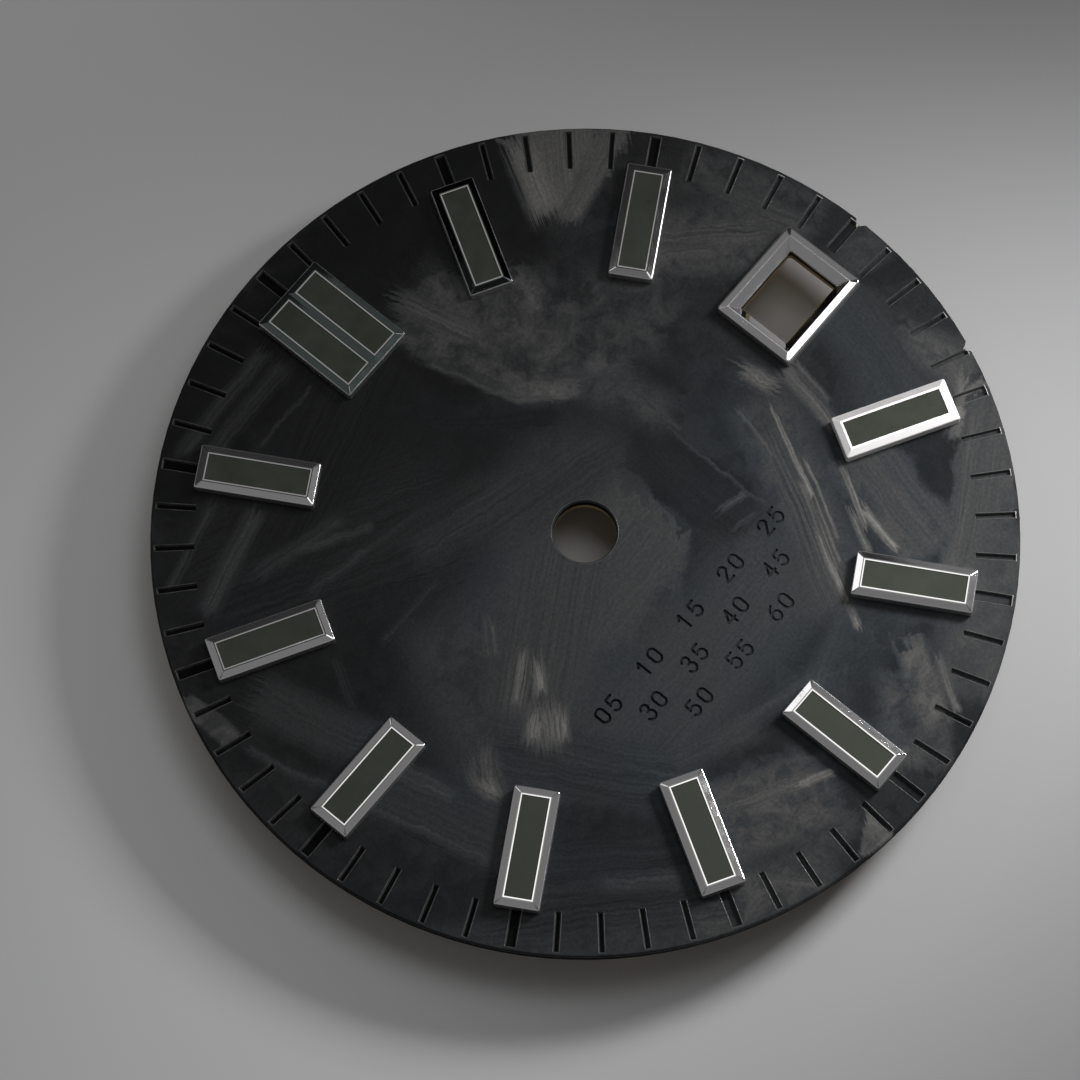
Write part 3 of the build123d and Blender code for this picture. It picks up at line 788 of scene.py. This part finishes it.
lume_paint = new_finish("lume_paint")
tree = lume_paint.node_tree
place = places_in_mm(tree)
mottle = grain(tree, place, 1.1, 4.0, 0.6)
pigment = grain(tree, place, 16.0, 3.0, 0.7)
tone = calc(tree, "MULTIPLY_ADD", pigment, pigment_share, mottle)
feed(tree, Base_Color=mix_colours(tree, ramp(tree, tone, *lume_span), lume_green, lume_grey),
     Roughness=spread(tree, mottle, *lume_roughness), Specular_IOR_Level=lume_gloss,
     Specular_Tint=lume_sheen)
relief(tree, pigment, pigment_depth)
for node in lume_nodes:
    dress(node, lume_paint)

# Date frame. One steel frame, polished on its band and its inner bevel, set on two pins round
# the date opening. The crest between the band and the bevel is rubbed bright.
date_frame_length = 3.80
date_frame_width = 3.10
date_middle_radius = 10.58
date_band_width = 0.27
dress("date_frame", polished_steel("steel_date", 0, date_middle_radius, date_frame_length,
                                   date_frame_width, light_wear, crest=date_band_width))

# Cement at the back. A drop of clear cement in a countersink locks each pin of a marker and has
# yellowed a little as it cured.
cement_pale = (0.42, 0.33, 0.17, 1.0)
cement_amber = (0.24, 0.16, 0.07, 1.0)
cement_roughness = (0.12, 0.30)
cement_stain = (0.35, 0.70)
cement_depth = 0.02
cement_coat = 0.4

cement = new_finish("amber_cement")
tree = cement.node_tree
place = places_in_mm(tree)
cloud = grain(tree, place, 4.0, 4.0, 0.6)
feed(tree, Base_Color=mix_colours(tree, ramp(tree, cloud, *cement_stain), cement_pale, cement_amber),
     Roughness=spread(tree, cloud, *cement_roughness), Coat_Weight=cement_coat)
relief(tree, cloud, cement_depth)
dress("pin_cement", cement)

# Floor. A plain pale sheet under the feet of the dial, matt, and a little greyer towards the lamp,
# where more light falls on it.
floor_height = -2.0
floor_half = 3000.0
floor_pale = (0.80, 0.80, 0.805, 1.0)
floor_grey = (0.40, 0.40, 0.405, 1.0)
floor_fade = (-18.0, 20.0)
lamp_side = (0.7, -0.7, 0.0)

floor_finish = new_finish("pale_floor")
tree = floor_finish.node_tree
place = places_in_mm(tree)
toward_lamp = vector_calc(tree, "DOT_PRODUCT", place, lamp_side)
toward_lamp = calc(tree, "MULTIPLY_ADD", grain(tree, place, 0.05, 3.0), 3.0, toward_lamp)
feed(tree, Base_Color=mix_colours(tree, ramp(tree, toward_lamp, *floor_fade), floor_pale, floor_grey),
     Roughness=0.9, Specular_IOR_Level=0.1)
floor = new_mesh("floor", [Vector((x * floor_half, y * floor_half, floor_height)) * MM
                           for x, y in ((-1, -1), (1, -1), (1, 1), (-1, 1))], [(0, 1, 2, 3)],
                 floor_finish)
floor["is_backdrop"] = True

# Light. An even room, which polished faces see brighter than it lights matt ones, a soft lamp low
# on the right, and soft panels overhead that the flat rims of the markers mirror.
room_light = 0.11
room_shine = 0.21
key_place = (40, -17, 33)
key_aim = (6, -11, 0)
key_size = (13, 15)
key_radiance = 63.0
key_beam = 56
panel_height = 157
panel_x = 42
panel_width = 66
strip_place = (7, 52, 80)
strip_size = (52, 20)
strip_radiance = 1.2
strip_turn = 37.6

# Ceiling panels: name, y of the middle, depth along y and brightness
ceiling_panels = (("low", -8, 66, 2.3), ("middle", 32, 14, 0.9), ("high", 53, 28, 0.12))

world = bpy.data.worlds.new("room")
world.use_nodes = True
tree = world.node_tree
background = tree.nodes["Background"]
background.inputs["Color"].default_value = (1.0, 1.0, 1.0, 1.0)
path = step(tree, "LightPath").outputs
seen = calc(tree, "MAXIMUM", path["Is Camera Ray"], path["Is Glossy Ray"])
seen = calc(tree, "MAXIMUM", seen, path["Is Transmission Ray"])
strength = calc(tree, "MULTIPLY_ADD", seen, room_shine - room_light, room_light)
tree.links.new(strength, background.inputs["Strength"])
bpy.context.scene.world = world


def soft_lamp(name, place, aim, size, radiance, beam=180):
    """A panel lamp at a place in millimetres that faces another place. Its light can be kept to a
    beam this many degrees wide, without a change of its brightness seen from straight ahead."""
    data = bpy.data.lights.new(name, "AREA")
    data.shape = "RECTANGLE"
    data.size, data.size_y = size[0] * MM, size[1] * MM
    data.energy = radiance * math.pi * data.size * data.size_y
    if beam < 180:
        data.spread = math.radians(beam)
        reach = math.tan(data.spread / 2)
        data.energy *= (reach - data.spread / 2) / reach
    lamp = bpy.data.objects.new(name, data)
    bpy.context.scene.collection.objects.link(lamp)
    lamp.location = Vector(place) * MM
    lamp.rotation_euler = (Vector(aim) - Vector(place)).to_track_quat("-Z", "Y").to_euler()
    lamp.visible_camera = False
    return lamp


soft_lamp("key_lamp", key_place, key_aim, key_size, key_radiance, key_beam)
for name, y, depth, radiance in ceiling_panels:
    soft_lamp("ceiling_panel_" + name, (panel_x, y, panel_height), (panel_x, y, 0), (panel_width, depth),
              radiance)
strip_aim = (strip_place[0], strip_place[1], 0)
strip = soft_lamp("strip_panel", strip_place, strip_aim, strip_size, strip_radiance)
strip.rotation_euler.z = math.radians(strip_turn)

# Black card beyond the upper right of the dial. It gives the polished facets something dark to
# mirror, and nothing else sees it.
card_height = 15.0
card_outline = ((17.5, -3), (21.4, -3), (21.4, 6.2), (90, 6.2), (90, 90), (-12, 90), (-12, 18),
                (17.5, 18))
card_black = (0.012, 0.012, 0.013, 1.0)
card_worn = (0.02, 0.02, 0.02, 1.0)
card_glow = 0.03

card_finish = new_finish("black_card")
tree = card_finish.node_tree
feed(tree, Base_Color=mix_colours(tree, grain(tree, places_in_mm(tree), 0.05), card_black, card_worn),
     Roughness=0.9, Emission_Color=(1.0, 1.0, 1.0, 1.0), Emission_Strength=card_glow)
card = new_mesh("black_card", [Vector((x, y, card_height)) * MM for x, y in card_outline],
                [tuple(range(len(card_outline)))], card_finish)
card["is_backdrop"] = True
card.visible_camera = False
card.visible_diffuse = False
card.visible_shadow = False
card.visible_transmission = False

# Camera. It stands at the photograph's viewing angle, about six dial widths away, with a long
# lens, and is turned a little about its own axis.
camera_place = Vector((-37.715, -32.734, 156.636))
camera_aim = Vector((-1.156, 0.945, 0.65))
camera_roll = math.radians(-2.858)
lens_length = 166.67
sensor_width = 36.0
nearest_seen = 0.01

camera_data = bpy.data.cameras.new("camera")
camera_data.lens = lens_length
camera_data.sensor_width = sensor_width
camera_data.clip_start = nearest_seen
camera = bpy.data.objects.new("camera", camera_data)
bpy.context.scene.collection.objects.link(camera)
facing = (camera_aim - camera_place).to_track_quat("-Z", "Y")
camera.location = camera_place * MM
camera.rotation_euler = (facing.to_matrix() @ Matrix.Rotation(camera_roll, 3, "Z")).to_euler()
bpy.context.scene.camera = camera
bpy.context.scene.view_settings.view_transform = "Standard"

sizes = {"cad": [list(corner) for corner in cad_box], "visual": [list(corner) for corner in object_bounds()]}
